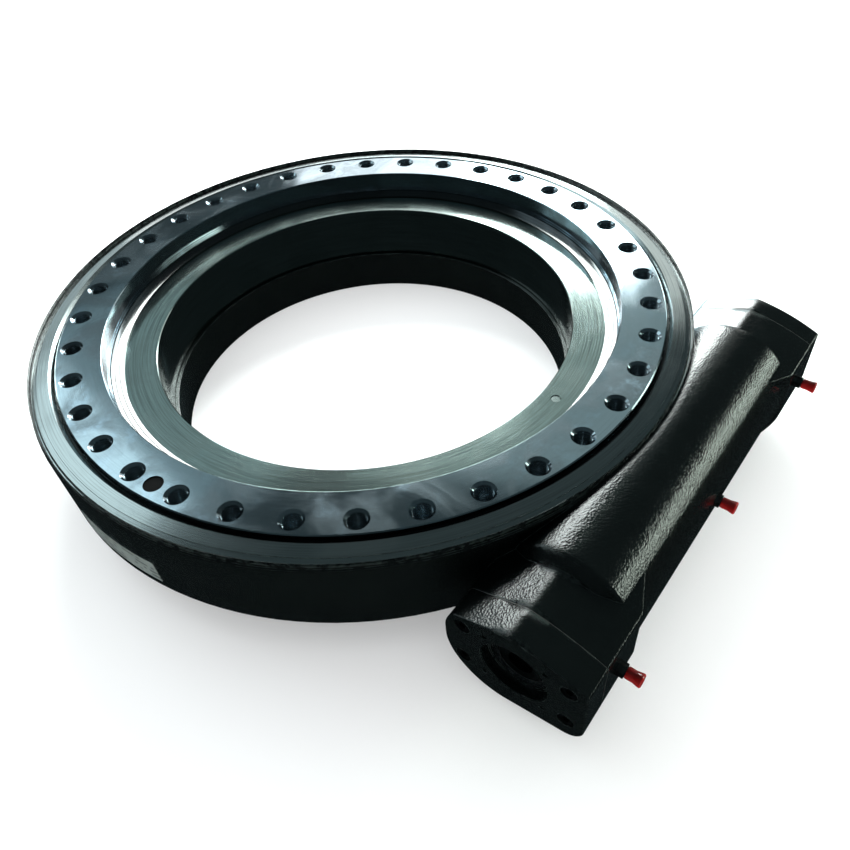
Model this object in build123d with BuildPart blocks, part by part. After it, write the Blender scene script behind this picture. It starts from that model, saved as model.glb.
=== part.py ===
"""Enclosed worm slew drive: a slewing ring bearing turned by a worm in a cast housing.

Frame: origin at the centre of the bore in the bottom mounting face, +Z up along the ring's axis,
+X towards the worm tube, +Y along the worm towards the closed end. Millimetres.
"""
import os
from math import atan, cos, degrees, pi, radians, sin, tan

from build123d import *

# ---------------------------------------------------------------- driving dimensions

# rotating gear ring
RING_TOP_Z = 139.0
RING_BOTTOM_Z = 42.0
RING_OUTER_R = 319.2
RING_INNER_R = 273.6
RING_LIP_R = 272.6
RING_LIP_Z = 117.5
RACE_GAP_RING_R = 268.2
BOLT_CIRCLE_R = 304.0
BOLT_COUNT = 36
M20_DRILL_R = 8.75
M20_MOUTH_R = 11.2
RING_HOLE_DEPTH = 32.0
DRILL_POINT = 4.0
PLUG_HOLE_ANGLE = -85.0
PLUG_HOLE_R = 9.0

# ball race
TRACK_R = 266.7
TRACK_Z = 77.0
BALL_R = 12.7
BALL_COUNT = 60
GROOVE_R = 13.0
SPACER_R = 9.0
SPACER_LENGTH = 8.0

# fixed inner race
RACE_BORE_R = 225.9
RACE_OUTER_R = 265.3
RACE_TOP_Z = 112.0
RACE_SEAT_Z = 49.0
PLUG_R = 13.2
PIN_CIRCLE_R = 242.0
PIN_TOP_R = 5.0
PIN_BOTTOM_R = 4.4
PIN_TOP_Z = RACE_TOP_Z - 0.7
PIN_BOTTOM_Z = 59.0
RACE_BOLT_CIRCLE_R = 238.0
RACE_BOLT_COUNT = 18
RACE_BOLT_START = 10.0
M16_DRILL_R = 7.0
M16_CLEARANCE_R = 8.75
M16_HEAD_R = 12.0
M16_HEAD_TOP_Z = 17.0

# housing
HUB_BORE_R = 221.5
FOOT_R = 300.0
WALL_R = 346.0
RIM_EDGE_R = 347.5
RIM_SHOULDER_R = 345.4
RIM_OPENING_R = 322.8
CAVITY_R = 327.0
FLOOR_Z = 34.0
HUB_R = 266.0
BASE_BOLT_CIRCLE_R = 254.0
BASE_HOLE_DEPTH = 33.0
BASE_MOUTH_R = M20_DRILL_R + 0.1

# worm gearing
WORM_X = 352.0
WORM_Z = 75.0
TOOTH_COUNT = 90
WORM_LEAD = 22.0
THREAD_TURNS = 5.5
WORM_TIP_R = 41.0
WORM_CORE_R = 31.0
WORM_PITCH_R = 36.9
THREAD_HALF_WIDTH = 4.5
SPACE_HALF_WIDTH = 6.0
PRESSURE_ANGLE = 20.0
TOOTH_TIP_R = 319.0
TOOTH_ROOT_R = 308.0
TOOTH_TOP_Z = 102.0

# worm tube and its ends
TUBE_R = 60.0
TUBE_HALF_LENGTH = 174.0
TUBE_END_CHAMFER = (8.0, 9.0)
TUBE_END_ROUND = 4.0
WORM_BORE_R = 42.5
BLOCK_START_Y = 126.0
BLOCK_END_Y = 215.5
GASKET = 0.5
INPUT_COVER_THICKNESS = 28.0
END_COVER_THICKNESS = 23.0
COVER_SCREWS = [(-47, -22), (-47, 22), (47, -22), (47, 22)]
M8_DRILL_R = 3.4
M8_CLEARANCE_R = 4.4
BLOCK_SIDE = 62.5
END_CORNER_R = 2.5
SIDE_TAPER = (129.0, 162.0)
SIDE_TAPER_DEPTH = 15.0

# worm bearings, tapered roller, 45 bore and 85 outside
BEARING_MID_Y = 192.6
BEARING_BORE_R = 22.5
ROLLER_CIRCLE_R = 32.6
ROLLER_R = 3.4
ROLLER_LENGTH = 16.6
ROLLER_TILT = 12.0
ROLLER_HALF_ANGLE = 1.24
ROLLER_COUNT = 17
ROLLER_GAP = 0.3

# motor interface on the input cover
PILOT_R = 30.0
PILOT_DEPTH = 10.0
SEAL_BORE_R = 28.0
SEAL_JOURNAL_R = 20.0
SHAFT_NOSE_Y = -233.6
MOTOR_BORE_R = 11.0
MOTOR_BORE_DEPTH = 60.0
KEYWAY_WIDTH = 6.0
KEYWAY_TOP = 13.8
MOTOR_BOLT_CIRCLE_R = 37.5
M6_DRILL_R = 2.5

# grease nipples: Y of each, and X of the flat that it is screwed into
NIPPLE_PLACES = [(-194.0, WORM_X + BLOCK_SIDE), (0.0, 408.5), (193.0, WORM_X + BLOCK_SIDE)]
SPOT_FACE_R = 9.0
NIPPLE_HOLE_R = 4.0

RING_AXIS = Axis.Z
WORM_AXIS = Axis((WORM_X, 0, WORM_Z), (0, 1, 0))
# a half-plane through the worm's axis: sketch x is distance along the worm, sketch y is radius
WORM_SECTION = Plane(origin=(WORM_X, 0, WORM_Z), x_dir=(0, 1, 0), z_dir=(1, 0, 0))

os.makedirs("parts", exist_ok=True)


def save(builder, name):
    """Label one finished piece and write it as its own file."""
    builder.part.label = name
    export_step(builder.part, f"parts/{name}.step")


def worm_plane(y):
    """Plane across the worm at y: sketch x is +X, sketch y is +Z, and it faces -Y."""
    return Plane(origin=(WORM_X, y, WORM_Z), x_dir=(1, 0, 0), z_dir=(0, -1, 0))


def flat_plane(nipple_y, flat_x):
    """Plane of the flat that a grease nipple is screwed into, facing +X."""
    return Plane(origin=(flat_x, nipple_y, WORM_Z), z_dir=(1, 0, 0))


def ring_solid(points):
    """Turn an outline of (radius, height) points about the ring's axis."""
    with BuildPart() as turned:
        with BuildSketch(Plane.XZ):
            with BuildLine():
                Polyline(*points, close=True)
            make_face()
        revolve(axis=RING_AXIS)
    return turned.part


def worm_solid(points):
    """Turn an outline of (distance along the worm, radius) points about the worm's axis."""
    with BuildPart() as turned:
        with BuildSketch(WORM_SECTION):
            with BuildLine():
                Polyline(*points, close=True)
            make_face()
        revolve(axis=WORM_AXIS)
    return turned.part


def end_outline():
    """Outline shared by the end blocks, their gaskets and their covers, about the worm's axis."""
    with BuildSketch() as outline:
        with BuildLine():
            gable_left = Line((-56, 31), (-5, 49))
            gable_right = ThreePointArc(gable_left @ 1, (32, 42), (BLOCK_SIDE, 31))
            side = Line(gable_right @ 1, (BLOCK_SIDE, -22))
            corner = ThreePointArc(side @ 1, (58.5, -36), (45, -43.5))
            bottom = Line(corner @ 1, (-9, -51.5))
            belly = ThreePointArc(bottom @ 1, (-50, -36), (-64, 4))
            ThreePointArc(belly @ 1, (-62.5, 18), gable_left @ 0)
        make_face()
        fillet(outline.vertices(), END_CORNER_R)
    return outline.sketch


# ---------------------------------------------------------------- shared cutters


def m20_hole(depth, mouth_r):
    """Cutter for one M20 tapped hole that opens upwards at the origin, chamfered out to mouth_r."""
    with BuildPart() as hole:
        with BuildSketch(Plane.XZ):
            with BuildLine():
                Polyline(
                    (0, 1),
                    (mouth_r + 1, 1),
                    (mouth_r, 0),
                    (M20_DRILL_R, M20_DRILL_R - mouth_r),
                    (M20_DRILL_R, -depth),
                    (0, -depth - DRILL_POINT),
                    close=True,
                )
            make_face()
        revolve(axis=Axis.Z)
    return hole.part


with BuildPart() as groove_cutter:
    with BuildSketch(Plane.XZ):
        with Locations((TRACK_R, TRACK_Z)):
            Circle(GROOVE_R)
    revolve(axis=RING_AXIS)

with BuildPart() as pin_cutter:
    with BuildSketch(Plane.XZ):
        with BuildLine():
            Polyline(
                (PIN_CIRCLE_R, PIN_BOTTOM_Z),
                (PIN_CIRCLE_R + PIN_BOTTOM_R, PIN_BOTTOM_Z),
                (PIN_CIRCLE_R + PIN_TOP_R, PIN_TOP_Z),
                (PIN_CIRCLE_R + PIN_TOP_R + 0.4, RACE_TOP_Z + 1),
                (PIN_CIRCLE_R, RACE_TOP_Z + 1),
                close=True,
            )
        make_face()
    revolve(axis=Axis((PIN_CIRCLE_R, 0, 0), (0, 0, 1)))

# ---------------------------------------------------------------- housing

# turned rim: chamfer at the opening, two falling bands with a fine step between, drop to the shoulder
RIM_OUTLINE = [
    (RIM_OPENING_R, 134.8),
    (RIM_OPENING_R + 2.8, 137.6),
    (337.6, 135.3),
    (337.9, 134.8),
    (342.2, 133.6),
    (343.8, 131.0),
    (RIM_SHOULDER_R, 131.0),
]
CAVITY_OUTLINE = [
    (RACE_BORE_R - 30, RACE_SEAT_Z),
    (HUB_R, RACE_SEAT_Z),
    (HUB_R, FLOOR_Z),
    (CAVITY_R - 4, FLOOR_Z),
    (CAVITY_R, FLOOR_Z + 4),
    (CAVITY_R, 117),
    (RIM_OPENING_R, 121),
    *RIM_OUTLINE,
    (RIM_SHOULDER_R, 150),
    (RACE_BORE_R - 30, 150),
]
SEAL_GROOVE_OUTLINE = [(322, 123.2), (326.4, 123.2), (326.4, 128.8), (322, 128.8)]

with BuildPart() as worm_tube:
    add(
        worm_solid(
            [
                (-TUBE_HALF_LENGTH, 0),
                (-TUBE_HALF_LENGTH, TUBE_R - TUBE_END_CHAMFER[1]),
                (-TUBE_HALF_LENGTH + TUBE_END_CHAMFER[0], TUBE_R),
                (TUBE_HALF_LENGTH - TUBE_END_CHAMFER[0], TUBE_R),
                (TUBE_HALF_LENGTH, TUBE_R - TUBE_END_CHAMFER[1]),
                (TUBE_HALF_LENGTH, 0),
            ]
        )
    )
    widest_circles = worm_tube.edges().filter_by(GeomType.CIRCLE).group_by(SortBy.RADIUS)[-1]
    fillet(widest_circles, TUBE_END_ROUND)

with BuildPart() as housing:
    for end in (-1, 1):
        with BuildSketch(worm_plane(end * BLOCK_START_Y)):
            add(end_outline())
        extrude(amount=-end * (BLOCK_END_Y - BLOCK_START_Y))
        # the outer side of each block runs in to the tube
        with BuildSketch(Plane.XY):
            with BuildLine():
                side_x = WORM_X + BLOCK_SIDE
                Polyline(
                    (side_x - SIDE_TAPER_DEPTH, end * SIDE_TAPER[0]),
                    (side_x, end * SIDE_TAPER[1]),
                    (side_x + 5, end * SIDE_TAPER[1]),
                    (side_x + 5, end * (BLOCK_START_Y - 5)),
                    (side_x - SIDE_TAPER_DEPTH, end * (BLOCK_START_Y - 5)),
                    close=True,
                )
            make_face()
        extrude(amount=RING_TOP_Z, mode=Mode.SUBTRACT)
    add(worm_tube.part)
    add(
        ring_solid(
            [
                (HUB_BORE_R, 0),
                (FOOT_R, 0),
                (312, 17),
                (WALL_R, 53),
                (RIM_EDGE_R, 128.4),
                (RIM_EDGE_R - 0.5, 130.2),
                (RIM_SHOULDER_R + 0.2, 131.0),
                (RIM_SHOULDER_R, 138),
                (HUB_BORE_R, 138),
            ]
        )
    )
    add(ring_solid(CAVITY_OUTLINE), mode=Mode.SUBTRACT)
    add(ring_solid(SEAL_GROOVE_OUTLINE), mode=Mode.SUBTRACT)
    # bore for the worm and its bearings, open at both ends and into the gear's room
    bore_half = BLOCK_END_Y + 1
    add(
        worm_solid(
            [(-bore_half, 0), (-bore_half, WORM_BORE_R), (bore_half, WORM_BORE_R), (bore_half, 0)]
        ),
        mode=Mode.SUBTRACT,
    )
    # mounting holes in the foot, open downwards
    with Locations(Location((0, 0, 0), (180, 0, 0))):
        with PolarLocations(BASE_BOLT_CIRCLE_R, BOLT_COUNT, start_angle=5):
            add(m20_hole(BASE_HOLE_DEPTH, BASE_MOUTH_R), mode=Mode.SUBTRACT)
    # counterbored holes for the race bolts
    with BuildSketch(Plane.XY):
        with PolarLocations(RACE_BOLT_CIRCLE_R, RACE_BOLT_COUNT, start_angle=RACE_BOLT_START):
            Circle(M16_CLEARANCE_R)
    extrude(amount=RACE_SEAT_Z + 1, mode=Mode.SUBTRACT)
    with BuildSketch(Plane.XY):
        with PolarLocations(RACE_BOLT_CIRCLE_R, RACE_BOLT_COUNT, start_angle=RACE_BOLT_START):
            Circle(M16_HEAD_R + 0.5)
    extrude(amount=M16_HEAD_TOP_Z, mode=Mode.SUBTRACT)
    # tapped holes for the cover screws
    for end in (-1, 1):
        with BuildSketch(worm_plane(end * BLOCK_END_Y)):
            with Locations(*COVER_SCREWS):
                Circle(M8_DRILL_R)
        extrude(amount=end * 22, mode=Mode.SUBTRACT)
    # tapped holes for the grease nipples, the middle one in a spot face
    for nipple_y, flat_x in NIPPLE_PLACES:
        with BuildSketch(flat_plane(nipple_y, flat_x)):
            Circle(SPOT_FACE_R)
        extrude(amount=8, mode=Mode.SUBTRACT)
        with BuildSketch(flat_plane(nipple_y, flat_x)):
            Circle(NIPPLE_HOLE_R)
        extrude(amount=-25, mode=Mode.SUBTRACT)
save(housing, "housing")

# ---------------------------------------------------------------- fixed inner race

with BuildPart() as inner_race:
    add(
        ring_solid(
            [
                (RACE_BORE_R, RACE_SEAT_Z + 1.2),
                (RACE_BORE_R + 1.2, RACE_SEAT_Z),
                (RACE_OUTER_R, RACE_SEAT_Z),
                (RACE_OUTER_R, RACE_TOP_Z - 1.5),
                (RACE_OUTER_R - 1.5, RACE_TOP_Z),
                (RACE_BORE_R + 0.8, RACE_TOP_Z),
                (RACE_BORE_R, RACE_TOP_Z - 0.8),
            ]
        )
    )
    add(groove_cutter.part, mode=Mode.SUBTRACT)
    with BuildSketch(Plane.XY.offset(RACE_SEAT_Z)):
        with PolarLocations(RACE_BOLT_CIRCLE_R, RACE_BOLT_COUNT, start_angle=RACE_BOLT_START):
            Circle(M16_DRILL_R)
    extrude(amount=27, mode=Mode.SUBTRACT)
    # radial hole that the balls are loaded through, and the pin that locks its plug
    with BuildSketch(Plane(origin=(0, 0, TRACK_Z), x_dir=(0, 1, 0), z_dir=(1, 0, 0))):
        Circle(PLUG_R + 0.02)
    extrude(amount=TRACK_R, mode=Mode.SUBTRACT)
    add(pin_cutter.part, mode=Mode.SUBTRACT)
save(inner_race, "inner_race")

with BuildPart() as loading_plug:
    with BuildSketch(Plane(origin=(RACE_BORE_R + 0.6, 0, TRACK_Z), x_dir=(0, 1, 0), z_dir=(1, 0, 0))):
        Circle(PLUG_R)
    extrude(amount=RACE_OUTER_R - RACE_BORE_R - 1.2)
    add(groove_cutter.part, mode=Mode.SUBTRACT)
    add(pin_cutter.part, mode=Mode.SUBTRACT)
    # tapped hole for pulling the plug out
    with BuildSketch(Plane(origin=(RACE_BORE_R, 0, TRACK_Z), x_dir=(0, 1, 0), z_dir=(1, 0, 0))):
        Circle(M8_DRILL_R)
    extrude(amount=9, mode=Mode.SUBTRACT)
save(loading_plug, "loading_plug")

with BuildPart() as plug_taper_pin:
    with BuildSketch(Plane.XZ):
        with BuildLine():
            Polyline(
                (PIN_CIRCLE_R, PIN_BOTTOM_Z),
                (PIN_CIRCLE_R + PIN_BOTTOM_R - 0.02, PIN_BOTTOM_Z),
                (PIN_CIRCLE_R + PIN_TOP_R - 0.06, PIN_TOP_Z - 0.6),
                (PIN_CIRCLE_R + PIN_TOP_R - 0.7, PIN_TOP_Z),
                (PIN_CIRCLE_R, PIN_TOP_Z),
                close=True,
            )
        make_face()
    revolve(axis=Axis((PIN_CIRCLE_R, 0, 0), (0, 0, 1)))
save(plug_taper_pin, "plug_taper_pin")

with BuildPart() as race_bolt:
    with BuildSketch(Plane.XZ):
        with BuildLine():
            Polyline(
                (0, 1),
                (M16_HEAD_R - 1, 1),
                (M16_HEAD_R, 2),
                (M16_HEAD_R, M16_HEAD_TOP_Z),
                (8, M16_HEAD_TOP_Z),
                (8, RACE_SEAT_Z - 1.6),
                (M16_DRILL_R - 0.1, RACE_SEAT_Z - 0.4),
                (M16_DRILL_R - 0.1, RACE_SEAT_Z + 25),
                (0, RACE_SEAT_Z + 25),
                close=True,
            )
        make_face()
    revolve(axis=Axis.Z)
    with BuildSketch(Plane.XY):
        RegularPolygon(radius=8.1, side_count=6)
    extrude(amount=9, mode=Mode.SUBTRACT)

with BuildPart() as race_bolts:
    with PolarLocations(RACE_BOLT_CIRCLE_R, RACE_BOLT_COUNT, start_angle=RACE_BOLT_START):
        add(race_bolt.part)
save(race_bolts, "race_bolts")

# ---------------------------------------------------------------- seals of the ring

with BuildPart() as rim_seal:
    add(
        ring_solid(
            [
                (326.3, 123.3),
                (326.3, 128.7),
                (322.7, 128.7),
                (320.4, 131.0),
                (319.55, 130.4),
                (320.8, 124.2),
                (322.7, 123.3),
            ]
        )
    )
save(rim_seal, "rim_seal")

with BuildPart() as lip_seal:
    # the lip slopes down to the inner race and its bead sits in the gear ring's groove
    add(
        ring_solid(
            [
                (260.0, 112.4),
                (260.0, 113.5),
                (263.6, 114.2),
                (263.9, 113.9),
                (264.2, 114.3),
                (268.0, 115.0),
                (268.3, 114.7),
                (268.6, 115.1),
                (271.9, 115.7),
                (272.3, 115.4),
                (272.3, 110.6),
                (276.6, 110.6),
                (276.6, 107.4),
                (270.8, 107.4),
                (269.6, 112.4),
            ]
        )
    )
save(lip_seal, "lip_seal")

# ---------------------------------------------------------------- gear ring

lead_angle = degrees(atan(WORM_LEAD / (2 * pi * WORM_PITCH_R)))
PITCH_R = WORM_X - WORM_PITCH_R
flank = tan(radians(PRESSURE_ANGLE))
slot_root_half = SPACE_HALF_WIDTH - (PITCH_R - TOOTH_ROOT_R) * flank
slot_mouth_r = TOOTH_TIP_R + 3
slot_mouth_half = SPACE_HALF_WIDTH + (slot_mouth_r - PITCH_R) * flank

slot_angle = radians(lead_angle)
slot_start_z = RING_BOTTOM_Z - 6
slot_plane = Plane(
    origin=(0, (slot_start_z - WORM_Z) * tan(slot_angle), slot_start_z),
    x_dir=(1, 0, 0),
    z_dir=(0, sin(slot_angle), cos(slot_angle)),
)

with BuildPart() as tooth_slot:
    with BuildSketch(slot_plane):
        with BuildLine():
            Polyline(
                (TOOTH_ROOT_R, -slot_root_half),
                (slot_mouth_r, -slot_mouth_half),
                (slot_mouth_r, slot_mouth_half),
                (TOOTH_ROOT_R, slot_root_half),
                close=True,
            )
        make_face()
    extrude(amount=(TOOTH_TOP_Z - slot_start_z) / cos(slot_angle))

with BuildPart() as gear_ring:
    add(
        ring_solid(
            [
                (RACE_GAP_RING_R, RING_BOTTOM_Z),
                (TOOTH_TIP_R - 3, RING_BOTTOM_Z),
                (TOOTH_TIP_R, RING_BOTTOM_Z + 3),
                (TOOTH_TIP_R, TOOTH_TOP_Z + 1),
                (RING_OUTER_R, TOOTH_TOP_Z + 2),
                (RING_OUTER_R, RING_TOP_Z - 1.0),
                (RING_OUTER_R - 1.0, RING_TOP_Z),
                (RING_INNER_R + 0.8, RING_TOP_Z),
                (RING_INNER_R, RING_TOP_Z - 0.8),
                (RING_INNER_R, RING_LIP_Z + 2.6),
                (RING_LIP_R + 0.4, RING_LIP_Z + 2.6),
                (RING_LIP_R + 0.4, RING_LIP_Z),
                (RING_LIP_R, RING_LIP_Z),
                (RING_LIP_R, 110.8),
                (276.8, 110.8),
                (276.8, 107.2),
                (RING_LIP_R, 107.2),
                (RING_LIP_R, 104),
                (RACE_GAP_RING_R, 100),
            ]
        )
    )
    add(groove_cutter.part, mode=Mode.SUBTRACT)
    with Locations((0, 0, RING_TOP_Z)):
        with PolarLocations(BOLT_CIRCLE_R, BOLT_COUNT):
            add(m20_hole(RING_HOLE_DEPTH, M20_MOUTH_R), mode=Mode.SUBTRACT)
    with BuildSketch(Plane.XY.offset(RING_TOP_Z)):
        with PolarLocations(BOLT_CIRCLE_R, 1, start_angle=PLUG_HOLE_ANGLE):
            Circle(PLUG_HOLE_R)
    extrude(amount=-RING_HOLE_DEPTH, mode=Mode.SUBTRACT)
    with PolarLocations(0, TOOTH_COUNT):
        add(tooth_slot.part, mode=Mode.SUBTRACT)
save(gear_ring, "gear_ring")

with BuildPart() as ring_hole_plug:
    with BuildSketch(Plane.XY.offset(RING_TOP_Z - 1.0)):
        with PolarLocations(BOLT_CIRCLE_R, 1, start_angle=PLUG_HOLE_ANGLE):
            Circle(PLUG_HOLE_R - 0.05)
    extrude(amount=-12)
save(ring_hole_plug, "ring_hole_plug")

# ---------------------------------------------------------------- balls and spacers

with BuildPart() as balls:
    with Locations((0, 0, TRACK_Z)):
        with PolarLocations(TRACK_R, BALL_COUNT):
            Sphere(BALL_R)
save(balls, "balls")

half_step = radians(180 / BALL_COUNT)
with BuildPart() as one_spacer:
    with BuildSketch(Plane(origin=(TRACK_R, -SPACER_LENGTH / 2, 0), x_dir=(1, 0, 0), z_dir=(0, 1, 0))):
        Circle(SPACER_R)
    extrude(amount=SPACER_LENGTH)
    for side in (-1, 1):
        with Locations((TRACK_R * cos(half_step), side * TRACK_R * sin(half_step), 0)):
            Sphere(BALL_R + 0.3, mode=Mode.SUBTRACT)

with BuildPart() as ball_spacers:
    with Locations((0, 0, TRACK_Z)):
        with PolarLocations(0, BALL_COUNT, start_angle=180 / BALL_COUNT):
            add(one_spacer.part)
save(ball_spacers, "ball_spacers")

# ---------------------------------------------------------------- worm shaft

thread_length = THREAD_TURNS * WORM_LEAD
thread_root_half = THREAD_HALF_WIDTH + (WORM_PITCH_R - WORM_CORE_R + 1) * flank
thread_tip_half = THREAD_HALF_WIDTH - (WORM_TIP_R - WORM_PITCH_R) * flank

with BuildPart() as worm_shaft:
    # the helix starts above the worm's axis, so after three quarters of a turn it faces the gear;
    # with an odd number of half turns it then stands in the tooth space on the line of centres
    thread_start = Vector(WORM_X, -thread_length / 2, WORM_Z)
    with BuildLine():
        helix = Helix(
            pitch=WORM_LEAD,
            height=thread_length,
            radius=WORM_CORE_R - 1,
            center=thread_start,
            direction=(0, 1, 0),
        )
    outward = (helix @ 0) - thread_start
    with BuildSketch(Plane(origin=helix @ 0, x_dir=outward, z_dir=helix % 0)):
        with BuildLine():
            thread_height = WORM_TIP_R - WORM_CORE_R + 1
            Polyline(
                (0, -thread_root_half),
                (thread_height, -thread_tip_half),
                (thread_height, thread_tip_half),
                (0, thread_root_half),
                close=True,
            )
        make_face()
    sweep(path=helix, is_frenet=True)
    add(
        worm_solid(
            [
                (SHAFT_NOSE_Y, 0),
                (SHAFT_NOSE_Y, SEAL_JOURNAL_R - 1),
                (SHAFT_NOSE_Y + 1, SEAL_JOURNAL_R),
                (-208, SEAL_JOURNAL_R),
                (-205, BEARING_BORE_R - 0.02),
                (-180.6, BEARING_BORE_R - 0.02),
                (-180.6, 28),
                (-100, 28),
                (-92, WORM_CORE_R),
                (92, WORM_CORE_R),
                (100, 28),
                (180.6, 28),
                (180.6, BEARING_BORE_R - 0.02),
                (206, BEARING_BORE_R - 0.02),
                (208, BEARING_BORE_R - 2),
                (208, 0),
            ]
        )
    )
    # keyed bore for the motor's shaft
    with BuildSketch(worm_plane(SHAFT_NOSE_Y)):
        Circle(MOTOR_BORE_R)
        with Locations((0, KEYWAY_TOP / 2)):
            Rectangle(KEYWAY_WIDTH, KEYWAY_TOP)
    extrude(amount=-MOTOR_BORE_DEPTH, mode=Mode.SUBTRACT)
save(worm_shaft, "worm_shaft")

# ---------------------------------------------------------------- worm bearings

tilt = radians(ROLLER_TILT)
roller_gap_r = ROLLER_R + ROLLER_GAP


def across(distance):
    """Point at a distance out from the roller's axis, square to it, as (inboard, radius)."""
    return (-distance * sin(tilt), ROLLER_CIRCLE_R + distance * cos(tilt))


def raceway_radius(inboard, outside):
    """Radius of the cup's raceway, or the cone's, at a place along the bearing."""
    side = 1 if outside else -1
    start = across(side * roller_gap_r)
    slope = tan(tilt + side * radians(ROLLER_HALF_ANGLE))
    return start[1] + slope * (inboard - start[0])


def make_bearing(end, name):
    """One tapered roller bearing, its small end facing out of the tube. end is -1 or 1."""

    def place(points):
        return [(end * (BEARING_MID_Y - inboard), radius) for inboard, radius in points]

    with BuildPart() as cone:
        add(
            worm_solid(
                place(
                    [
                        (-12, BEARING_BORE_R),
                        (-12, 28.0),
                        (-9.4, 28.0),
                        (-9.4, raceway_radius(-9.4, False)),
                        (9.6, raceway_radius(9.6, False)),
                        (9.6, 33.0),
                        (12, 33.0),
                        (12, BEARING_BORE_R),
                    ]
                )
            )
        )
    save(cone, f"{name}_bearing_cone")

    with BuildPart() as cup:
        add(
            worm_solid(
                place(
                    [
                        (-12.4, raceway_radius(-12.4, True)),
                        (-12.4, WORM_BORE_R - 0.02),
                        (8.5, WORM_BORE_R - 0.02),
                        (8.5, raceway_radius(8.5, True)),
                    ]
                )
            )
        )
    save(cup, f"{name}_bearing_cup")

    axis_direction = (0, -end * cos(tilt), sin(tilt))
    middle = Vector(WORM_X, end * BEARING_MID_Y, WORM_Z + ROLLER_CIRCLE_R)
    taper = tan(radians(ROLLER_HALF_ANGLE)) * ROLLER_LENGTH / 2
    roller_plane = Plane(origin=middle, x_dir=(1, 0, 0), z_dir=axis_direction)
    with BuildPart() as roller:
        with Locations(roller_plane.location):
            Cone(ROLLER_R - taper, ROLLER_R + taper, ROLLER_LENGTH)
    with BuildPart() as pocket:
        with Locations(roller_plane.location):
            Cylinder(ROLLER_R + 0.35, ROLLER_LENGTH + 1.2)

    turns = [360 * number / ROLLER_COUNT for number in range(ROLLER_COUNT)]
    with BuildPart() as rollers:
        add([roller.part.rotate(WORM_AXIS, turn) for turn in turns])
    save(rollers, f"{name}_bearing_rollers")

    def on_axis(along, out):
        """Point along the roller's axis and out from it, as (inboard, radius)."""
        radius = ROLLER_CIRCLE_R + along * sin(tilt) + out * cos(tilt)
        return (along * cos(tilt) - out * sin(tilt), radius)

    cage_half = ROLLER_LENGTH / 2 + 2.2
    cage_ends = [(-cage_half, 0.4), (-cage_half, 1.8), (cage_half, 1.8), (cage_half, 0.4)]
    with BuildPart() as cage:
        add(worm_solid(place([on_axis(along, out) for along, out in cage_ends])))
        add([pocket.part.rotate(WORM_AXIS, turn) for turn in turns], mode=Mode.SUBTRACT)
    save(cage, f"{name}_bearing_cage")


make_bearing(-1, "input")
make_bearing(1, "end")

# ---------------------------------------------------------------- covers, gaskets and screws

spigot_r = WORM_BORE_R - 0.1
spigot_inner_r = 36.0
cup_face_y = BEARING_MID_Y + 12.6
screw_head_depth = 8.0


def make_gasket(end, name):
    """Gasket between an end block and its cover."""
    with BuildPart() as gasket:
        with BuildSketch(worm_plane(end * BLOCK_END_Y)):
            add(end_outline())
            Circle(WORM_BORE_R + 0.1, mode=Mode.SUBTRACT)
            with Locations(*COVER_SCREWS):
                Circle(M8_CLEARANCE_R, mode=Mode.SUBTRACT)
        extrude(amount=-end * GASKET)
    save(gasket, name)


def make_screws(end, face_y, name):
    """Four socket head screws that hold a cover, heads sunk in its face."""
    head_y = face_y - end * 1.0
    with BuildPart() as screws:
        for place in COVER_SCREWS:
            with BuildSketch(worm_plane(head_y)):
                with Locations(place):
                    Circle(6.5)
            extrude(amount=end * screw_head_depth)
            with BuildSketch(worm_plane(head_y - end * screw_head_depth)):
                with Locations(place):
                    Circle(4.0)
            extrude(amount=end * (abs(head_y) - screw_head_depth - BLOCK_END_Y - 0.2))
            with BuildSketch(worm_plane(end * (BLOCK_END_Y + 0.2))):
                with Locations(place):
                    Circle(M8_DRILL_R - 0.05)
            extrude(amount=end * 18)
            with BuildSketch(worm_plane(head_y)):
                with Locations(place):
                    RegularPolygon(radius=3.5, side_count=6)
            extrude(amount=end * 4.5, mode=Mode.SUBTRACT)
    save(screws, name)


def screw_holes(end, face_y):
    """Clearance holes and counterbores to cut through a cover."""
    with BuildPart() as holes:
        with BuildSketch(worm_plane(face_y)):
            with Locations(*COVER_SCREWS):
                Circle(M8_CLEARANCE_R)
        extrude(amount=end * 40)
        with BuildSketch(worm_plane(face_y)):
            with Locations(*COVER_SCREWS):
                Circle(7.2)
        extrude(amount=end * (screw_head_depth + 1))
    return holes.part


make_gasket(-1, "input_cover_gasket")
make_gasket(1, "end_cover_gasket")

cover_seat_y = BLOCK_END_Y + GASKET
input_face_y = -cover_seat_y - INPUT_COVER_THICKNESS
end_face_y = cover_seat_y + END_COVER_THICKNESS

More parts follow.
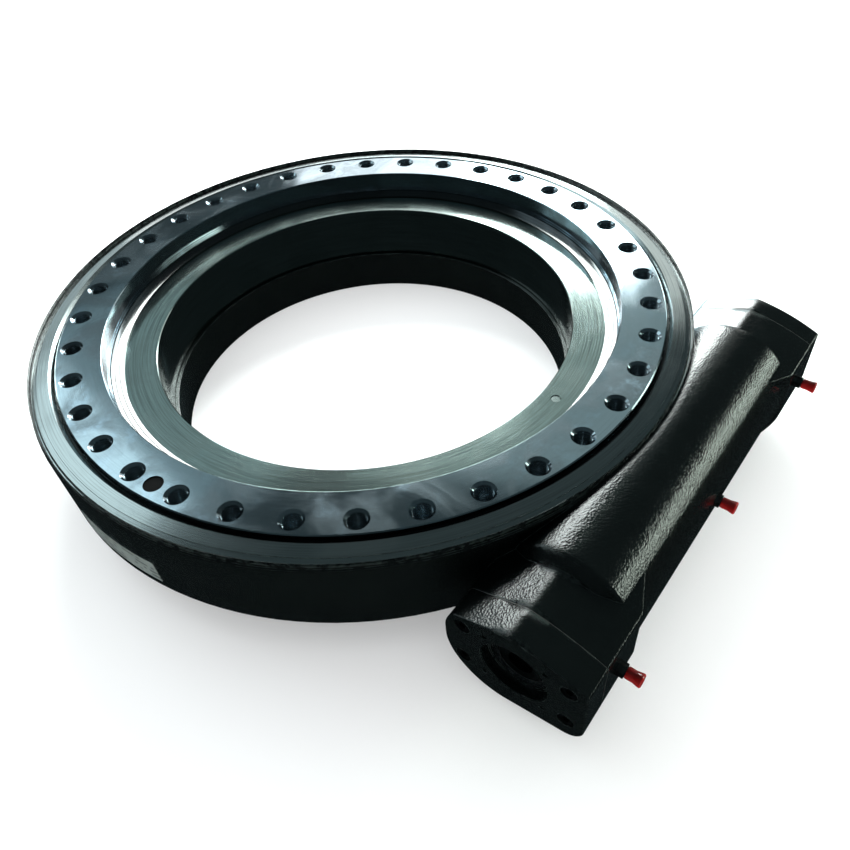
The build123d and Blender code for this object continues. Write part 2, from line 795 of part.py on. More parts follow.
with BuildPart() as input_cover:
    with BuildSketch(worm_plane(-cover_seat_y)):
        add(end_outline())
    extrude(amount=INPUT_COVER_THICKNESS)
    chamfer(input_cover.faces().sort_by(Axis.Y)[0].edges(), 0.8)
    add(
        worm_solid(
            [
                (-cover_seat_y - 4, 0),
                (-cover_seat_y - 4, spigot_r),
                (-cup_face_y, spigot_r),
                (-cup_face_y, 0),
            ]
        )
    )
    # inside: bearing room, shaft seal bore and the motor's pilot recess
    add(
        worm_solid(
            [
                (input_face_y - 1, 0),
                (input_face_y - 1, PILOT_R + 1.8),
                (input_face_y, PILOT_R + 0.8),
                (input_face_y + 0.8, PILOT_R),
                (input_face_y + PILOT_DEPTH, PILOT_R),
                (input_face_y + PILOT_DEPTH, SEAL_BORE_R),
                (-223, SEAL_BORE_R),
                (-223, 25),
                (-221, 25),
                (-221, spigot_inner_r),
                (-cup_face_y + 1, spigot_inner_r),
                (-cup_face_y + 1, 0),
            ]
        ),
        mode=Mode.SUBTRACT,
    )
    add(screw_holes(-1, input_face_y), mode=Mode.SUBTRACT)
    # tapped holes for the motor
    with BuildSketch(worm_plane(input_face_y)):
        with PolarLocations(MOTOR_BOLT_CIRCLE_R, 4, start_angle=45):
            Circle(M6_DRILL_R)
    extrude(amount=-14, mode=Mode.SUBTRACT)
save(input_cover, "input_cover")
make_screws(-1, input_face_y, "input_cover_screws")

with BuildPart() as end_cover:
    with BuildSketch(worm_plane(cover_seat_y)):
        add(end_outline())
    extrude(amount=-END_COVER_THICKNESS)
    chamfer(end_cover.faces().sort_by(Axis.Y)[-1].edges(), 0.8)
    add(
        worm_solid(
            [
                (cover_seat_y + 4, 0),
                (cover_seat_y + 4, spigot_r),
                (cup_face_y, spigot_r),
                (cup_face_y, 0),
            ]
        )
    )
    add(
        worm_solid(
            [
                (cover_seat_y + 4, 0),
                (cover_seat_y + 4, spigot_inner_r),
                (cup_face_y - 1, spigot_inner_r),
                (cup_face_y - 1, 0),
            ]
        ),
        mode=Mode.SUBTRACT,
    )
    add(screw_holes(1, end_face_y), mode=Mode.SUBTRACT)
save(end_cover, "end_cover")
make_screws(1, end_face_y, "end_cover_screws")

with BuildPart() as input_shaft_seal:
    # metal-cased ring with a lip that runs just clear of the shaft
    add(
        worm_solid(
            [
                (-233, SEAL_BORE_R - 0.02),
                (-223.2, SEAL_BORE_R - 0.02),
                (-223.2, 26.4),
                (-231, 26.4),
                (-231, 23),
                (-226, 21.8),
                (-226, 20.3),
                (-231.6, 20.6),
                (-233, 21.6),
            ]
        )
    )
save(input_shaft_seal, "input_shaft_seal")

# ---------------------------------------------------------------- grease nipples and caps

with BuildPart() as nipple:
    with BuildSketch(Plane.XY):
        RegularPolygon(radius=6.3, side_count=6)
    extrude(amount=6.4)
    with BuildSketch(Plane.XZ):
        with BuildLine():
            stem_r = NIPPLE_HOLE_R - 0.04
            Polyline(
                (0, -12), (stem_r, -12), (stem_r, 7.0), (2.5, 7.8), (2.5, 10), (3.2, 11.5),
                (3.2, 12.6), (1.6, 14.2), (0, 14.2), close=True,
            )
        make_face()
    revolve(axis=Axis.Z)

with BuildPart() as cap:
    with BuildSketch(Plane.XZ):
        with BuildLine():
            Polyline(
                (4.1, 7.2), (4.9, 7.2), (5.1, 9.0), (5.0, 13.5), (5.9, 18.5), (5.9, 19.6),
                (5.2, 20.4), (0, 20.6), (0, 15.2), (4.1, 15.2), close=True,
            )
        make_face()
    revolve(axis=Axis.Z)

with BuildPart() as grease_nipples:
    for nipple_y, flat_x in NIPPLE_PLACES:
        with Locations(flat_plane(nipple_y, flat_x).location):
            add(nipple.part)
save(grease_nipples, "grease_nipples")

with BuildPart() as nipple_caps:
    for nipple_y, flat_x in NIPPLE_PLACES:
        with Locations(flat_plane(nipple_y, flat_x).location):
            add(cap.part)
save(nipple_caps, "nipple_caps")

# ---------------------------------------------------------------- label on the wall

LABEL_BOTTOM_Z = 62.0
LABEL_TOP_Z = 90.0
LABEL_ARC = 17.0
LABEL_START_ANGLE = -98.5


def wall_radius(z):
    """Outside radius of the housing's wall at a height."""
    return WALL_R + (RIM_EDGE_R - WALL_R) * (z - 53) / (128.4 - 53)


with BuildPart() as label:
    inner_bottom = wall_radius(LABEL_BOTTOM_Z)
    inner_top = wall_radius(LABEL_TOP_Z)
    label_start = Plane.XZ.rotated((0, 0, LABEL_START_ANGLE))
    with BuildSketch(label_start):
        with BuildLine():
            Polyline(
                (inner_bottom, LABEL_BOTTOM_Z),
                (inner_bottom + 0.3, LABEL_BOTTOM_Z),
                (inner_top + 0.3, LABEL_TOP_Z),
                (inner_top, LABEL_TOP_Z),
                close=True,
            )
        make_face()
    revolve(axis=RING_AXIS, revolution_arc=LABEL_ARC)
save(label, "label")
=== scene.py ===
"""Looks of the enclosed worm slew drive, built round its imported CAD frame.

Metres, +Z up, origin at the centre of the bore in the bottom mounting face, +X towards the worm
tube. The slewing ring turns about Z; every added piece rides on the body that it belongs to.
"""
import math

import bmesh
import bpy
from mathutils import Matrix, Vector


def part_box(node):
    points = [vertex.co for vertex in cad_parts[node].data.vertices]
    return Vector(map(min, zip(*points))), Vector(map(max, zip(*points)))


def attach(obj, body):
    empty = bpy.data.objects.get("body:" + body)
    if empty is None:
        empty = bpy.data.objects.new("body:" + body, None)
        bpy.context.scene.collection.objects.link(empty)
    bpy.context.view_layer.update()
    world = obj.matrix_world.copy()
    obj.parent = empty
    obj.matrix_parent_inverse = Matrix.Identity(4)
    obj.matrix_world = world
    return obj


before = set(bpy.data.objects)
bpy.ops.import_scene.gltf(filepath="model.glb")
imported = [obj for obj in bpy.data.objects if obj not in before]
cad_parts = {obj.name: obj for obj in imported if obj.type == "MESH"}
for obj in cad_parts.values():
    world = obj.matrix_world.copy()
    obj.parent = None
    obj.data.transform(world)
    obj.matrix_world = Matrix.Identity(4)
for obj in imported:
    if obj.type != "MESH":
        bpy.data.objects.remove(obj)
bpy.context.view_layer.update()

MM = 0.001
ring_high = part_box("gear_ring")[1]
worm_low, worm_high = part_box("worm_shaft")

RING_TOP = ring_high.z
RING_OUTER_R = ring_high.x
WORM_X = (worm_low.x + worm_high.x) / 2
WORM_Z = (worm_low.z + worm_high.z) / 2


# ---------------------------------------------------------------- material building


class Graph:
    """One Principled material whose node tree is built with short calls."""

    def __init__(self, name, **uniform):
        self.material = bpy.data.materials.new(name)
        self.material.use_nodes = True
        self.tree = self.material.node_tree
        self.tree.nodes.clear()
        self.shader = self.make("ShaderNodeBsdfPrincipled")
        output = self.make("ShaderNodeOutputMaterial")
        self.tree.links.new(self.shader.outputs["BSDF"], output.inputs["Surface"])
        self.place = self.make("ShaderNodeTexCoord").outputs["Object"]
        for socket, value in uniform.items():
            self.surface(socket.replace("_", " "), value)

    def make(self, kind, **settings):
        node = self.tree.nodes.new(kind)
        for name, value in settings.items():
            setattr(node, name, value)
        return node

    def feed(self, socket, value):
        """Link an output to a socket, or set the socket to a plain value."""
        if isinstance(value, bpy.types.NodeSocket):
            self.tree.links.new(value, socket)
        elif isinstance(value, tuple) and len(value) == 3 and socket.type == "RGBA":
            socket.default_value = (*value, 1.0)
        else:
            socket.default_value = value

    def surface(self, socket, value):
        self.feed(self.shader.inputs[socket], value)

    def math(self, operation, *values, clamp=False):
        node = self.make("ShaderNodeMath", operation=operation, use_clamp=clamp)
        for socket, value in zip(node.inputs, values):
            self.feed(socket, value)
        return node.outputs[0]

    def fit(self, value, low, high, to_low=0.0, to_high=1.0):
        """Map low..high smoothly to to_low..to_high, held at both ends."""
        node = self.make("ShaderNodeMapRange", interpolation_type="SMOOTHSTEP")
        for socket, number in zip(node.inputs, (value, low, high, to_low, to_high)):
            self.feed(socket, number)
        return node.outputs[0]

    def noise(self, scale, detail=2.0, roughness=0.5, vector=None, distortion=0.0):
        node = self.make("ShaderNodeTexNoise")
        self.feed(node.inputs["Vector"], self.place if vector is None else vector)
        self.feed(node.inputs["Scale"], scale)
        self.feed(node.inputs["Detail"], detail)
        self.feed(node.inputs["Roughness"], roughness)
        self.feed(node.inputs["Distortion"], distortion)
        return node.outputs["Fac"]

    def cells(self, scale, smoothness=0.6):
        node = self.make("ShaderNodeTexVoronoi", feature="SMOOTH_F1")
        self.feed(node.inputs["Vector"], self.place)
        self.feed(node.inputs["Scale"], scale)
        self.feed(node.inputs["Smoothness"], smoothness)
        return node.outputs["Distance"]

    def mix(self, amount, first, second):
        node = self.make("ShaderNodeMix", data_type="RGBA")
        self.feed(node.inputs[0], amount)
        self.feed(node.inputs[6], first)
        self.feed(node.inputs[7], second)
        return node.outputs[2]

    def between(self, amount, first, second):
        """Number that goes from first to second as amount goes from 0 to 1."""
        node = self.make("ShaderNodeMix", data_type="FLOAT")
        self.feed(node.inputs[0], amount)
        self.feed(node.inputs[2], first)
        self.feed(node.inputs[3], second)
        return node.outputs[0]

    def xyz(self):
        node = self.make("ShaderNodeSeparateXYZ")
        self.feed(node.inputs[0], self.place)
        return node.outputs

    def radius(self):
        """Distance from the ring's axis."""
        x, y, _ = self.xyz()
        squares = self.math("ADD", self.math("MULTIPLY", x, x), self.math("MULTIPLY", y, y))
        return self.math("SQRT", squares)

    def turned(self, across, around):
        """Coordinates that stretch a texture into rings.

        across is its cells per metre of radius, around its cells round the ring.
        """
        x, y, z = self.xyz()
        r = self.radius()
        node = self.make("ShaderNodeCombineXYZ")
        self.feed(node.inputs[0], self.math("MULTIPLY", self.math("DIVIDE", x, r), around))
        self.feed(node.inputs[1], self.math("MULTIPLY", self.math("DIVIDE", y, r), around))
        self.feed(node.inputs[2], self.math("MULTIPLY", self.math("ADD", r, z), across))
        return node.outputs[0]

    def bump(self, height, distance, strength=1.0, normal=None):
        node = self.make("ShaderNodeBump")
        self.feed(node.inputs["Height"], height)
        self.feed(node.inputs["Distance"], distance)
        self.feed(node.inputs["Strength"], strength)
        if normal is not None:
            self.feed(node.inputs["Normal"], normal)
        return node.outputs["Normal"]


# ---------------------------------------------------------------- materials

BLUE_STEEL = (0.33, 0.40, 0.44)
GREEN_STEEL = (0.34, 0.41, 0.39)
RIM_STEEL = (0.40, 0.45, 0.45)

# radii with which the paint rounds sharp edges and the upper edge of the worm tube
EDGE_ROUND = 1.4 * MM
CREST_ROUND = 9 * MM
CREST_OFFSET = -5 * MM
CREST_HEIGHT = 40 * MM

# sizes of the paint's texture, in cells per metre
LUMP_SCALE = 90.0
PEEL_SCALE = 560.0
GRAIN_SCALE = 1300.0
GRAIN_SHARE = 0.45

# the bare turned rim: how far it reaches past the ring, and how low down
RIM_WIDTH = 25 * MM
RIM_FOOT = 118 * MM

# the label's rows and bars per metre, and its blank margin above and below
LABEL_ROWS = 160.0
LABEL_BARS = 260.0
LABEL_MARGIN = 3 * MM


def paint_skin(graph, peel):
    """Bump of gloss paint over a sand casting: orange peel on the skin, low lumps below it."""
    rounded = graph.make("ShaderNodeBevel", samples=6)
    x, _, z = graph.xyz()
    crest = graph.math("ABSOLUTE", graph.math("SUBTRACT", x, WORM_X + CREST_OFFSET))
    soft = graph.math("MULTIPLY", graph.fit(crest, 12 * MM, 24 * MM, CREST_ROUND, 0.0),
                      graph.fit(z, WORM_Z + CREST_HEIGHT, WORM_Z + CREST_HEIGHT + 6 * MM))
    graph.feed(rounded.inputs["Radius"], graph.math("ADD", soft, EDGE_ROUND))
    lumps = graph.noise(LUMP_SCALE, detail=2.0)
    skin = graph.cells(PEEL_SCALE, 0.3)
    grain = graph.math("MULTIPLY", graph.noise(GRAIN_SCALE, detail=1.0), GRAIN_SHARE)
    height = graph.math("ADD", graph.math("ADD", lumps, skin), grain)
    return graph.bump(height, peel, normal=rounded.outputs["Normal"]), rounded.outputs["Normal"]


def edge_amount(graph, rounded):
    """1 where the rounded normal leaves the true one, which is along sharp edges."""
    true_normal = graph.make("ShaderNodeNewGeometry").outputs["Normal"]
    closeness = graph.make("ShaderNodeVectorMath", operation="DOT_PRODUCT")
    graph.feed(closeness.inputs[0], rounded)
    graph.feed(closeness.inputs[1], true_normal)
    return graph.fit(closeness.outputs["Value"], 0.97, 0.90)


def turned_steel(graph, tone, smudging, lining, across):
    """Base colour of turned or ground steel and its smudges, which also change the gloss.

    smudging and lining say how much the oil smudges and the tool's rings show, from 0 to 1.
    """
    smudge = graph.fit(graph.noise(16.0, detail=4.0, distortion=0.8), 0.42, 0.66)
    oily = tuple(0.45 * part for part in tone)
    base = graph.mix(graph.math("MULTIPLY", smudge, smudging), tone, oily)
    cloud = graph.fit(graph.noise(45.0, detail=5.0, roughness=0.65), 0.50, 0.72)
    film = tuple(1.15 * part + 0.03 * extra for part, extra in zip(tone, (0.0, 1.0, 2.4)))
    base = graph.mix(graph.math("MULTIPLY", cloud, 0.7 * smudging), base, film)
    ringed = graph.noise(1.0, detail=3.0, vector=graph.turned(across, 4.0))
    lined = graph.math("MULTIPLY", graph.fit(ringed, 0.38, 0.70), lining)
    return graph.mix(lined, base, tuple(0.40 * part for part in tone)), smudge


def housing_material(name, peel):
    """Black gloss paint worn at the edges, with the bare turned rim round the ring's opening."""
    graph = Graph(name, Specular_IOR_Level=0.6)
    r = graph.radius()
    height = graph.xyz()[2]
    edge = graph.math("MULTIPLY", graph.math("SUBTRACT", graph.noise(420.0), 0.5), 0.0012)
    ragged = graph.math("ADD", r, edge)
    rim_edge_r = RING_OUTER_R + RIM_WIDTH
    inside = graph.fit(ragged, rim_edge_r, rim_edge_r + 0.5 * MM, 1.0, 0.0)
    bare = graph.math("MULTIPLY", inside, graph.fit(height, RIM_FOOT, RIM_FOOT + 2 * MM))
    steel, smudge = turned_steel(graph, RIM_STEEL, 0.12, 0.35, 1500.0)
    skin, rounded = paint_skin(graph, peel)
    patches = graph.noise(40.0, detail=3.0)
    paint = graph.mix(patches, (0.003, 0.0048, 0.0045), (0.007, 0.010, 0.0095))
    chips = graph.fit(graph.noise(130.0), 0.35, 0.6)
    worn = graph.math("MULTIPLY", edge_amount(graph, rounded), chips)
    paint = graph.mix(graph.math("MULTIPLY", worn, 0.5), paint, (0.10, 0.13, 0.12))
    graph.surface("Base Color", graph.mix(bare, paint, steel))
    graph.surface("Metallic", bare)
    glossy = graph.between(graph.noise(60.0, detail=3.0), 0.10, 0.20)
    satin = graph.between(smudge, 0.17, 0.22)
    graph.surface("Roughness", graph.between(bare, glossy, satin))
    lines = graph.bump(graph.noise(1.0, detail=2.0, vector=graph.turned(2600.0, 4.0)), 0.02 * MM)
    normal = graph.make("ShaderNodeMix", data_type="VECTOR")
    graph.feed(normal.inputs[0], bare)
    graph.feed(normal.inputs[4], skin)
    graph.feed(normal.inputs[5], lines)
    graph.surface("Normal", normal.outputs[1])
    return graph.material


def steel_material(name, tone, roughness, smudging, lining, across, line_depth):
    """Turned or ground steel with fine rings, smudges and a slight bluish oil film."""
    graph = Graph(name, Metallic=1.0)
    base, smudge = turned_steel(graph, tone, smudging, lining, across)
    graph.surface("Base Color", base)
    rough = graph.between(smudge, roughness, roughness + 0.14 * smudging)
    streaks = graph.noise(1.0, detail=2.0, vector=graph.turned(across, 10.0))
    fine = graph.between(streaks, -0.03, 0.05)
    graph.surface("Roughness", graph.math("ADD", rough, fine))
    lines = graph.noise(1.0, detail=2.0, vector=graph.turned(across, 5.0))
    graph.surface("Normal", graph.bump(lines, line_depth))
    return graph.material


def plain_steel(name, tone, roughness):
    """Machined or plated steel with small uneven patches."""
    graph = Graph(name, Metallic=1.0)
    patch = graph.noise(120.0, detail=4.0)
    dull = tuple(0.6 * part for part in tone)
    graph.surface("Base Color", graph.mix(graph.fit(patch, 0.4, 0.7), tone, dull))
    graph.surface("Roughness", graph.between(patch, roughness - 0.06, roughness + 0.12))
    graph.surface("Normal", graph.bump(graph.noise(500.0, detail=2.0), 0.02 * MM))
    return graph.material


def moulded(name, light, dark, roughness, depth=0.02, coat=0.0, gloss=0.5):
    """Rubber, plastic or paper: two close tones, a fine grain and an uneven gloss.

    depth is the grain's, in millimetres.
    """
    graph = Graph(name, Coat_Weight=coat, Coat_Roughness=0.05, Specular_IOR_Level=gloss)
    patch = graph.noise(150.0, detail=3.0)
    graph.surface("Base Color", graph.mix(patch, light, dark))
    graph.surface("Roughness", graph.between(patch, roughness - 0.05, roughness + 0.08))
    graph.surface("Normal", graph.bump(graph.noise(700.0, detail=2.0), depth * MM))
    return graph.material


def label_material(name):
    """Pale film with a few grey bars between its blank margins, in place of any print."""
    graph = Graph(name, Specular_IOR_Level=0.5)
    x, y, z = graph.xyz()
    low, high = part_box("label")
    turn = graph.math("ARCTAN2", y, x)
    arc = graph.math("MULTIPLY", graph.math("ADD", turn, math.radians(90.0)), high.length)
    above = graph.math("SUBTRACT", z, low.z)
    rows = graph.math("FRACT", graph.math("MULTIPLY", above, LABEL_ROWS))
    bars = graph.fit(rows, 0.52, 0.60)
    pieces = graph.make("ShaderNodeTexWhiteNoise", noise_dimensions="2D")
    spot = graph.make("ShaderNodeCombineXYZ")
    graph.feed(spot.inputs[0], graph.math("FLOOR", graph.math("MULTIPLY", arc, LABEL_BARS)))
    graph.feed(spot.inputs[1], graph.math("FLOOR", graph.math("MULTIPLY", z, LABEL_ROWS)))
    graph.feed(pieces.inputs["Vector"], spot.outputs[0])
    inked = graph.math("GREATER_THAN", pieces.outputs["Value"], 0.62)
    margin = graph.math(
        "MULTIPLY",
        graph.fit(z, low.z + LABEL_MARGIN, low.z + LABEL_MARGIN + 0.4 * MM),
        graph.fit(z, high.z - LABEL_MARGIN - 0.4 * MM, high.z - LABEL_MARGIN, 1.0, 0.0),
    )
    print_amount = graph.math("MULTIPLY", graph.math("MULTIPLY", bars, inked), margin)
    paper = graph.mix(graph.noise(90.0, detail=3.0), (0.42, 0.47, 0.44), (0.33, 0.38, 0.36))
    graph.surface("Base Color", graph.mix(print_amount, paper, (0.10, 0.12, 0.12)))
    graph.surface("Roughness", graph.between(graph.noise(50.0), 0.32, 0.45))
    graph.surface("Normal", graph.bump(graph.noise(300.0), 0.03 * MM))
    return graph.material


cast_paint = housing_material("cast_paint", 0.19 * MM)
cover_paint = housing_material("cover_paint", 0.09 * MM)
ground_steel = steel_material("ground_steel", BLUE_STEEL, 0.09, 0.75, 0.15, 2400.0, 0.005 * MM)
brushed_steel = steel_material("brushed_steel", GREEN_STEEL, 0.11, 0.25, 0.60, 1500.0, 0.012 * MM)
bright_steel = plain_steel("bright_steel", (0.72, 0.73, 0.74), 0.25)
pin_steel = plain_steel("pin_steel", (0.24, 0.28, 0.27), 0.20)
gear_steel = plain_steel("gear_steel", (0.42, 0.41, 0.39), 0.34)
oiled_steel = plain_steel("oiled_steel", (0.10, 0.105, 0.10), 0.30)
black_oxide = plain_steel("black_oxide", (0.035, 0.036, 0.038), 0.34)
zinc = plain_steel("zinc", (0.10, 0.10, 0.10), 0.32)
glossy_rubber = moulded(
    "glossy_rubber", (0.016, 0.019, 0.020), (0.009, 0.011, 0.012), 0.16, coat=1.0
)
# plug in the ring's blind hole: its near-zero tone, darker than any real plastic, is painted shade
# so that it looks as dark as the inside of a deep hole
plug_plastic = moulded(
    "plug_plastic", (0.001, 0.001, 0.001), (0.002, 0.002, 0.002), 0.65, gloss=0.12
)
spacer_nylon = moulded("spacer_nylon", (0.62, 0.60, 0.52), (0.55, 0.53, 0.45), 0.45)
gasket_paper = moulded("gasket_paper", (0.05, 0.05, 0.045), (0.03, 0.03, 0.03), 0.7, depth=0.05)
red_plastic = moulded("red_plastic", (0.80, 0.014, 0.012), (0.68, 0.010, 0.008), 0.28, coat=0.4)
label_film = label_material("label_film")

FINISHES = {
    "housing": cast_paint,
    "input_cover": cover_paint,
    "end_cover": cover_paint,
    "gear_ring": ground_steel,
    "inner_race": brushed_steel,
    "loading_plug": brushed_steel,
    "plug_taper_pin": pin_steel,
    "race_bolts": black_oxide,
    "rim_seal": glossy_rubber,
    "lip_seal": glossy_rubber,
    "ring_hole_plug": plug_plastic,
    "balls": bright_steel,
    "ball_spacers": spacer_nylon,
    "worm_shaft": oiled_steel,
    "input_bearing_cone": bright_steel,
    "input_bearing_cup": bright_steel,
    "input_bearing_rollers": bright_steel,
    "input_bearing_cage": zinc,
    "end_bearing_cone": bright_steel,
    "end_bearing_cup": bright_steel,
    "end_bearing_rollers": bright_steel,
    "end_bearing_cage": zinc,
    "input_cover_gasket": gasket_paper,
    "end_cover_gasket": gasket_paper,
    "input_cover_screws": black_oxide,
    "end_cover_screws": black_oxide,
    "input_shaft_seal": glossy_rubber,
    "grease_nipples": zinc,
    "nipple_caps": red_plastic,
    "label": label_film,
}


def dress(node, material):
    """Give every face of one CAD node a material."""
    slots = node.data.materials
    if len(slots) == 0:
        slots.append(material)
    for index in range(len(slots)):
        slots[index] = material


for name, material in FINISHES.items():
    dress(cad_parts[name], material)


# ---------------------------------------------------------------- threads in the tapped holes

THREAD_PITCH = 2.5 * MM
THREAD_STEPS = 24
THREAD_TURNS = 10
THREAD_CREST = 0.55 * MM
THREAD_HALF_WIDTH = 0.42 * THREAD_PITCH
THREAD_WALL_R = 8.75 * MM
THREAD_START = 2.4 * MM
WALL_OVERLAP = 0.1 * MM
RING_HOLE_CIRCLE_R = 304 * MM
BASE_HOLE_CIRCLE_R = 254 * MM
HOLE_COUNT = 36
BASE_HOLE_ANGLE = 5.0


def add_thread(mesh, centre, outward, wall_r, start_depth):
    """Helical ridge on the wall of one hole. outward points out of the hole's mouth."""
    across = outward.orthogonal().normalized()
    along = outward.cross(across)
    rows = []
    count = THREAD_TURNS * THREAD_STEPS
    for step in range(count + 1):
        turn = 2 * math.pi * step / THREAD_STEPS
        # the ridge rises over its first half turn and runs out over its last
        rise = min(1.0, 2 * step / THREAD_STEPS, 2 * (count - step) / THREAD_STEPS + 0.01)
        depth = start_depth + THREAD_PITCH * step / THREAD_STEPS
        direction = math.cos(turn) * across + math.sin(turn) * along
        crest_r = wall_r - THREAD_CREST * rise
        half = THREAD_HALF_WIDTH * max(rise, 0.2)
        root_r = wall_r + WALL_OVERLAP
        profile = [(root_r, -half), (crest_r, -0.12 * half), (crest_r, 0.12 * half), (root_r, half)]
        rows.append([
            mesh.verts.new(centre + direction * radius - outward * (depth + shift))
            for radius, shift in profile
        ])
    for first, second in zip(rows, rows[1:]):
        for side in range(4):
            after = (side + 1) % 4
            mesh.faces.new((first[side], second[side], second[after], first[after]))
    mesh.faces.new(rows[0])
    mesh.faces.new(list(reversed(rows[-1])))


def finish_piece(mesh, name, body, material):
    """Turn a bmesh into a piece that rides on a body."""
    bmesh.ops.recalc_face_normals(mesh, faces=mesh.faces)
    data = bpy.data.meshes.new(name)
    mesh.to_mesh(data)
    mesh.free()
    for polygon in data.polygons:
        polygon.use_smooth = True
    data.materials.append(material)
    piece = bpy.data.objects.new(name, data)
    bpy.context.scene.collection.objects.link(piece)
    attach(piece, body)
    return piece


def threads(name, body, material, height, outward, circle_r, count, start_angle):
    """Threads in a circle of M20 holes about the ring's axis."""
    mesh = bmesh.new()
    for number in range(count):
        angle = math.radians(start_angle + 360.0 * number / count)
        centre = Vector((circle_r * math.cos(angle), circle_r * math.sin(angle), height))
        add_thread(mesh, centre, outward, THREAD_WALL_R, THREAD_START)
    return finish_piece(mesh, name, body, material)


UP = Vector((0.0, 0.0, 1.0))
threads("ring_threads", "ring_body", ground_steel, RING_TOP, UP,
        RING_HOLE_CIRCLE_R, HOLE_COUNT, 0.0)
threads("base_threads", "housing_body", gear_steel, 0.0, -UP,
        BASE_HOLE_CIRCLE_R, HOLE_COUNT, BASE_HOLE_ANGLE)

# ---------------------------------------------------------------- floor, light and camera


FLOOR_HALF_WIDTH = 12.0
FLOOR_DROP = 0.5 * MM
FLOOR_TONE = (0.93, 0.93, 0.93)


def add_floor():
    """Pale matt floor that shows in no reflection."""
    mesh = bmesh.new()
    bmesh.ops.create_grid(mesh, x_segments=8, y_segments=8, size=FLOOR_HALF_WIDTH)
    data = bpy.data.meshes.new("floor")
    mesh.to_mesh(data)
    mesh.free()
    floor = bpy.data.objects.new("floor", data)
    floor.location = (0.0, 0.0, -FLOOR_DROP)
    bpy.context.scene.collection.objects.link(floor)
    graph = Graph("floor_paint", Roughness=0.9, Specular_IOR_Level=0.1)
    graph.surface("Base Color", FLOOR_TONE)
    data.materials.append(graph.material)
    floor.visible_glossy = False
    return floor


LIGHT_DISTANCE = 2.6
LIGHT_CENTRE = Vector((0.1, 0.0, RING_TOP))
FLOOR_LIGHT = 1.3
ROOM_TINT = (0.66, 0.94, 1.0, 1.0)
ROOM_LOW = 0.018
ROOM_HIGH = 0.07
SWEEP_AZIMUTH = 215.0
SWEEP_ELEVATION = -12.0
SWEEP_LIGHT = 2.2


def outward_direction(azimuth, elevation):
    """Unit vector at an azimuth and elevation: azimuth 0 is towards -Y, 90 towards +X."""
    turn, rise = math.radians(azimuth), math.radians(elevation)
    level = Vector((math.sin(turn), -math.cos(turn), 0.0))
    return math.cos(rise) * level + math.sin(rise) * UP


def add_softbox(name, azimuth, elevation, wide, tall, radiance, colour, tilt=0.0):
    """Rectangular light that the object sees at an azimuth and elevation, wide and tall in degrees.

    tilt turns it in its own plane.
    """
    outward = outward_direction(azimuth, elevation)
    data = bpy.data.lights.new(name, "AREA")
    data.shape = "RECTANGLE"
    data.size = 2 * LIGHT_DISTANCE * math.tan(math.radians(wide / 2))
    data.size_y = 2 * LIGHT_DISTANCE * math.tan(math.radians(tall / 2))
    data.energy = radiance * math.pi * data.size * data.size_y
    data.color = colour
    light = bpy.data.objects.new(name, data)
    light.location = LIGHT_CENTRE + LIGHT_DISTANCE * outward
    light.rotation_mode = "QUATERNION"
    facing = (-outward).to_track_quat("-Z", "Y")
    light.rotation_quaternion = facing @ Matrix.Rotation(math.radians(tilt), 3, "Z").to_quaternion()
    bpy.context.scene.collection.objects.link(light)
    return light


def add_floor_light(floor):
    """Even light from above on the floor alone, so that the metal doesn't mirror it."""
    alone = bpy.data.collections.new("floor_only")
    alone.objects.link(floor)
    light = add_softbox("floor_light", 0.0, 90.0, 120.0, 120.0, FLOOR_LIGHT, WHITE)
    light.light_linking.receiver_collection = alone
    light.light_linking.blocker_collection = alone


CAMERA_AZIMUTH = math.radians(39.55)
CAMERA_ELEVATION = math.radians(45.2054)
CAMERA_ROLL = math.radians(-4.1861)
CAMERA_PLACE = (0.4971, -0.4789, 0.6226)
CAMERA_LENS = 32.42
CAMERA_SHIFT = -0.0235


def add_camera():
    data = bpy.data.cameras.new("camera")
    data.sensor_width = 36.0
    data.lens = CAMERA_LENS
    data.shift_x = CAMERA_SHIFT
    data.clip_start = 0.01
    camera = bpy.data.objects.new("camera", data)
    turn = Matrix.Rotation(CAMERA_AZIMUTH, 4, "Z")
    lean = Matrix.Rotation(math.radians(90.0) - CAMERA_ELEVATION, 4, "X")
    roll = Matrix.Rotation(CAMERA_ROLL, 4, "Z")
    camera.matrix_world = Matrix.Translation(CAMERA_PLACE) @ turn @ lean @ roll
    bpy.context.scene.collection.objects.link(camera)
    bpy.context.scene.camera = camera


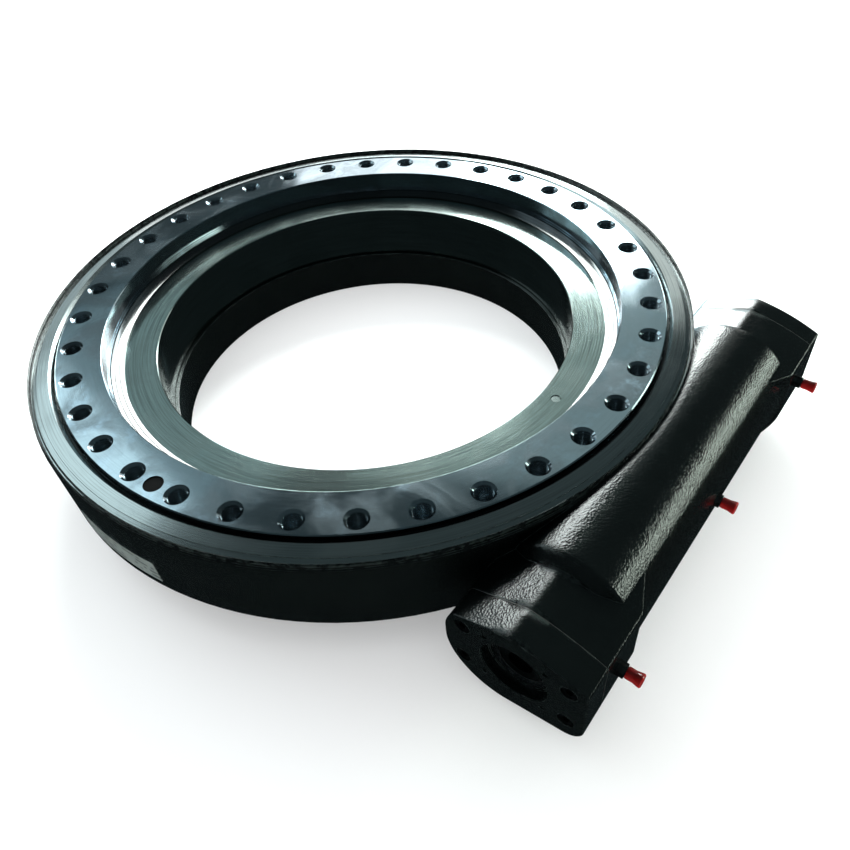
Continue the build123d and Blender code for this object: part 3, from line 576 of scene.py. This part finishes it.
def add_world():
    """Dim room, lighter above, with a pale sweep low down behind the object."""
    world = bpy.data.worlds.new("studio")
    world.use_nodes = True
    tree = world.node_tree
    background = tree.nodes["Background"]
    background.inputs["Color"].default_value = ROOM_TINT
    direction = tree.nodes.new("ShaderNodeTexCoord").outputs["Generated"]
    split = tree.nodes.new("ShaderNodeSeparateXYZ")
    tree.links.new(direction, split.inputs[0])
    facing = tree.nodes.new("ShaderNodeVectorMath")
    facing.operation = "DOT_PRODUCT"
    tree.links.new(direction, facing.inputs[0])
    facing.inputs[1].default_value = outward_direction(SWEEP_AZIMUTH, SWEEP_ELEVATION)

    def ramp(value, *numbers):
        node = tree.nodes.new("ShaderNodeMapRange")
        node.interpolation_type = "SMOOTHSTEP"
        tree.links.new(value, node.inputs[0])
        for socket, number in zip(node.inputs[1:5], numbers):
            socket.default_value = number
        return node.outputs[0]

    total = tree.nodes.new("ShaderNodeMath")
    tree.links.new(ramp(split.outputs[2], -0.15, 0.35, ROOM_LOW, ROOM_HIGH), total.inputs[0])
    tree.links.new(ramp(facing.outputs["Value"], 0.90, 0.96, 0.0, SWEEP_LIGHT), total.inputs[1])
    tree.links.new(total.outputs[0], background.inputs["Strength"])
    bpy.context.scene.world = world


WHITE = (1.0, 1.0, 1.0)
WINDOW_WHITE = (0.92, 1.0, 0.98)

add_floor_light(add_floor())
add_world()
add_softbox("window_left", 227.5, 38.0, 25.0, 12.0, 16.0, WINDOW_WHITE, tilt=-3.0)
add_softbox("window_right", 206.5, 20.5, 17.0, 23.0, 18.0, WINDOW_WHITE)
add_softbox("backdrop", 214.5, 12.5, 33.0, 40.0, 2.6, WHITE)
add_softbox("backdrop_right", 188.5, 15.5, 18.0, 31.0, 1.1, (0.96, 1.0, 0.96))
add_softbox("backdrop_left", 261.0, 9.0, 18.0, 18.0, 0.75, (0.84, 0.97, 1.0))
add_softbox("left_fill", 255.0, 38.0, 18.0, 20.0, 0.40, (0.70, 0.95, 1.0))
add_softbox("backdrop_side", 242.0, -2.0, 21.0, 24.0, 1.9, WHITE)
add_softbox("haze", 208.0, 43.0, 34.0, 20.0, 0.42, (0.80, 1.0, 0.98))
add_softbox("left_box", 278.0, 36.0, 30.0, 30.0, 1.6, (0.80, 0.96, 1.0))
add_softbox("side_strip", 128.0, 9.0, 34.0, 6.0, 12.0, (0.86, 1.0, 0.88))
add_camera()
bpy.context.scene.view_settings.view_transform = "Standard"
